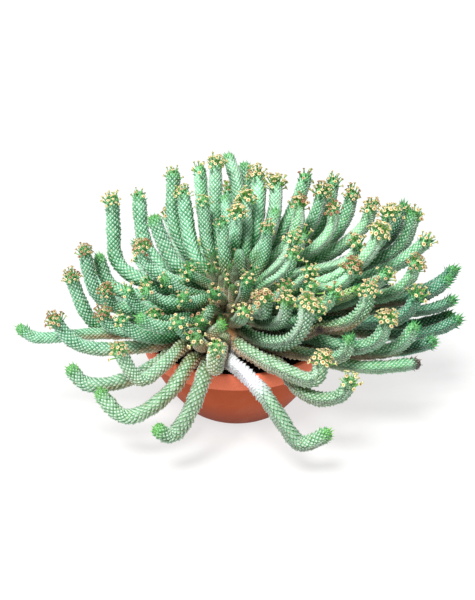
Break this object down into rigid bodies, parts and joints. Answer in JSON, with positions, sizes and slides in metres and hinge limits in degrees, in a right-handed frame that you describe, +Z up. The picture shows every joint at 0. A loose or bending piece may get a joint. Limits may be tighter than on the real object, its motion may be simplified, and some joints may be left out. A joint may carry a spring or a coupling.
{
  "type": "potted euphorbia",
  "caption": "Terracotta bowl of soil with a medusa-head succulent: a short caudex and many tubercled snake-like arms, most of them tipped with small flowers or leaves.",
  "frame": {"origin": "middle of the pot's flat base, on the floor plane", "axes": "+Z up out of the pot, -Y to the front that the picture shows, +X to the right of that view"},
  "size_m": [0.6694, 0.4968, 0.3507],
  "materials": {
    "terracotta": "unglazed fired clay, matt",
    "potting_soil": "dark crumbly soil, matt",
    "caudex_bark": "dry tan bark, matt",
    "green_arm": "waxy grey-green skin, satin",
    "bleached_arm": "bleached white skin, matt"
  },
  "bodies": {
    "root": {"pot": "terracotta", "soil": "potting_soil", "caudex": "caudex_bark", "arm_front_01": "bleached_arm", "arm_front_02": "green_arm", "arm_front_03": "green_arm", "arm_front_04": "green_arm", "arm_front_05": "green_arm", "arm_front_06": "green_arm", "arm_front_07": "green_arm", "arm_front_08": "green_arm", "arm_front_09": "green_arm", "arm_front_10": "green_arm", "arm_front_11": "green_arm", "arm_front_12": "green_arm", "arm_left_01": "green_arm", "arm_left_02": "green_arm", "arm_left_03": "green_arm", "arm_left_04": "green_arm", "arm_left_05": "green_arm", "arm_left_06": "green_arm", "arm_left_07": "green_arm", "arm_left_08": "green_arm", "arm_left_09": "green_arm", "arm_left_10": "green_arm", "arm_left_11": "green_arm", "arm_left_12": "green_arm", "arm_left_13": "green_arm", "arm_left_14": "green_arm", "arm_back_01": "green_arm", "arm_back_02": "green_arm", "arm_back_03": "green_arm", "arm_back_04": "green_arm", "arm_back_05": "green_arm", "arm_back_06": "green_arm", "arm_back_07": "green_arm", "arm_back_08": "green_arm", "arm_back_09": "green_arm", "arm_back_10": "green_arm", "arm_back_11": "green_arm", "arm_back_12": "green_arm", "arm_right_01": "green_arm", "arm_right_02": "green_arm", "arm_right_03": "green_arm", "arm_right_04": "green_arm", "arm_right_05": "green_arm", "arm_right_06": "green_arm", "arm_right_07": "green_arm", "arm_right_08": "green_arm", "arm_right_09": "green_arm", "arm_right_10": "green_arm", "arm_right_11": "green_arm", "arm_right_12": "green_arm", "arm_right_13": "green_arm", "arm_right_14": "green_arm", "arm_right_15": "green_arm", "arm_right_16": "green_arm", "arm_right_17": "green_arm", "arm_right_18": "green_arm", "arm_right_19": "green_arm"}
  },
  "joints": []
}
